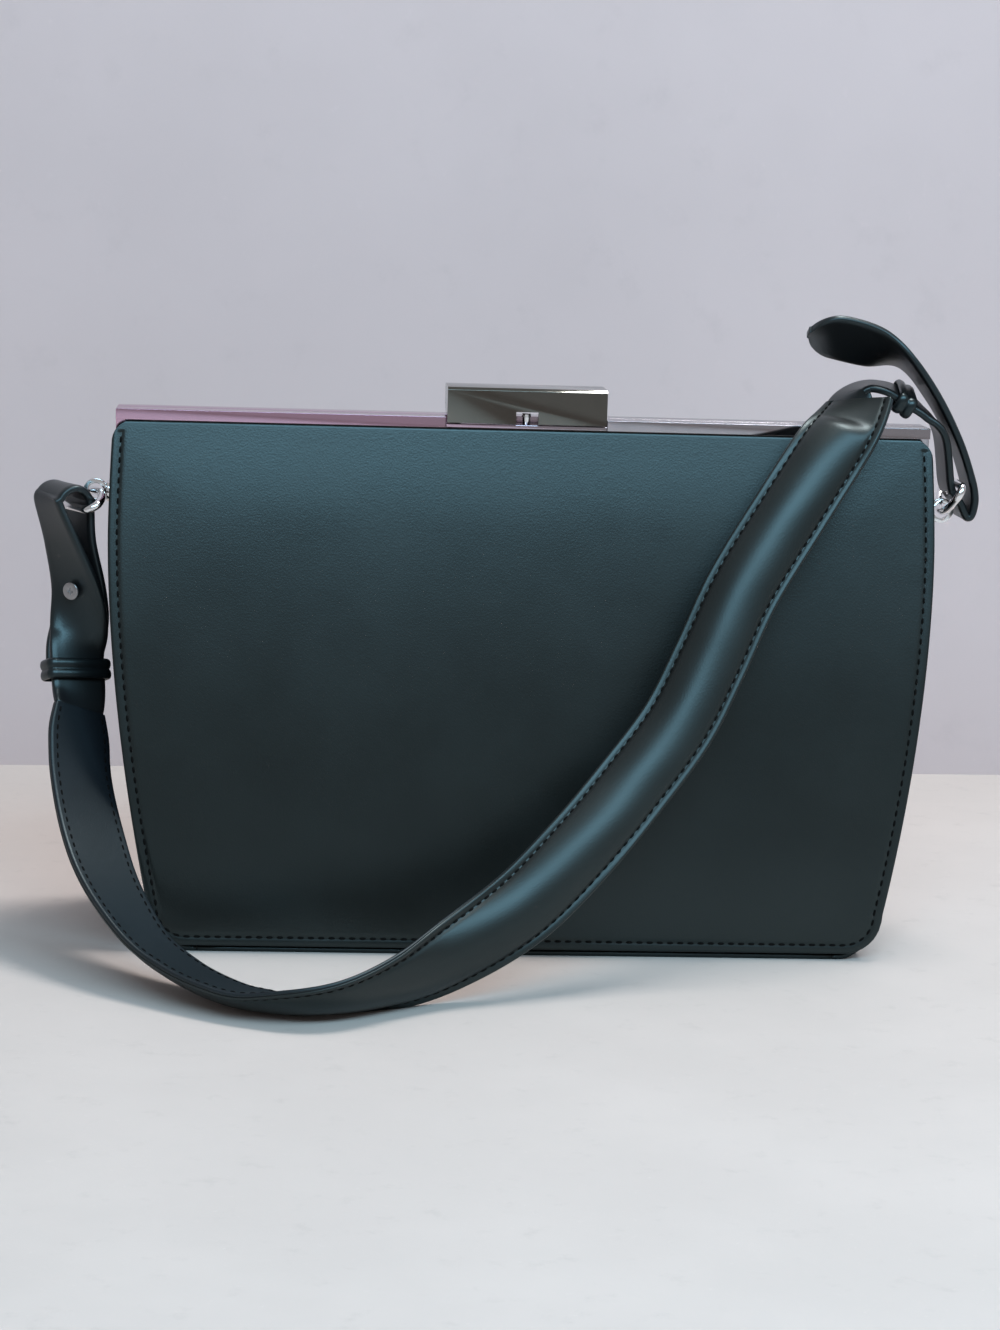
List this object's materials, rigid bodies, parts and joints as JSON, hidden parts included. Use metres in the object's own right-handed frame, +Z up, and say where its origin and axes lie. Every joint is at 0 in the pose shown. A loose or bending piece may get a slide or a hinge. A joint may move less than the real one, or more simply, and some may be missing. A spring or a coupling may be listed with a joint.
{
  "type": "shoulder bag",
  "caption": "Structured leather shoulder bag with a hinged metal frame, a push clasp, and a padded shoulder strap held by rings and keepers.",
  "frame": {"origin": "centre of the base on the floor", "axes": "+Z up, +X to the right when facing the front, the front faces -Y"},
  "size_m": [0.3458, 0.1849, 0.2327],
  "materials": {
    "panel_leather": "smooth",
    "side_leather": "smooth",
    "strap_leather": "smooth",
    "strap_back": "matte",
    "board": "matte",
    "lining": "matte",
    "filler": "matte",
    "polished_metal": "polished",
    "hardware": "satin"
  },
  "bodies": {
    "bag_body": {"front_panel": "panel_leather", "front_board": "board", "front_lining": "lining", "back_panel": "panel_leather", "back_board": "board", "back_lining": "lining", "left_gusset": "side_leather", "right_gusset": "side_leather", "base_panel": "side_leather", "left_gusset_lining": "lining", "right_gusset_lining": "lining", "base_board": "board", "base_lining": "lining", "slip_pocket": "lining", "front_frame": "polished_metal", "catch_plate": "polished_metal", "clasp_post": "hardware", "hinge_pins": "hardware"},
    "rear_frame_body": {"rear_frame": "polished_metal", "clasp_bracket": "hardware", "clasp_pin": "hardware", "back_panel_top": "panel_leather", "back_lining_top": "lining"},
    "clasp": {"clasp_hood": "polished_metal", "clasp_spring": "hardware"},
    "strap": {"left_lug": "hardware", "right_lug": "hardware", "strap_outer": "strap_leather", "strap_filler": "filler", "strap_backing": "strap_back", "strap_left_end": "strap_leather", "strap_right_end": "strap_leather", "strap_screw": "hardware", "strap_screw_post": "hardware"},
    "left_ring_body": {"left_ring": "hardware"},
    "right_ring_body": {"right_ring": "hardware"},
    "left_keeper_body": {"left_keeper": "strap_leather"},
    "right_keeper_body": {"right_keeper": "strap_leather"}
  },
  "joints": [
    {"name": "frame_open", "type": "hinge", "parent": "bag_body", "child": "rear_frame_body", "pos_m": [0, 0, 0.161], "axis": [-1, 0, 0], "range_deg": [0, 50], "deforming": ["back_panel_top", "back_lining_top"]},
    {"name": "clasp_open", "type": "hinge", "parent": "rear_frame_body", "child": "clasp", "pos_m": [0, 0.00475, 0.1949], "axis": [-1, 0, 0], "range_deg": [0, 60]},
    {"name": "strap_swing", "type": "hinge", "parent": "bag_body", "child": "strap", "pos_m": [0, 0, 0.161], "axis": [-1, 0, 0], "range_deg": [0, 110]},
    {"name": "left_ring_swing", "type": "hinge", "parent": "strap", "child": "left_ring_body", "pos_m": [-0.15553, 0, 0.161], "axis": [0, 1, 0], "range_deg": [0, 10]},
    {"name": "right_ring_swing", "type": "hinge", "parent": "strap", "child": "right_ring_body", "pos_m": [0.15553, 0, 0.161], "axis": [0, 1, 0], "range_deg": [0, 10]},
    {"name": "left_keeper_slide", "type": "slide", "parent": "strap", "child": "left_keeper_body", "axis": [-0.0807, 0.3063, 0.9485], "range_m": [-0.002, 0.002]},
    {"name": "right_keeper_slide", "type": "slide", "parent": "strap", "child": "right_keeper_body", "axis": [0.8682, 0, -0.4962], "range_m": [-0.003, 0.001]}
  ]
}
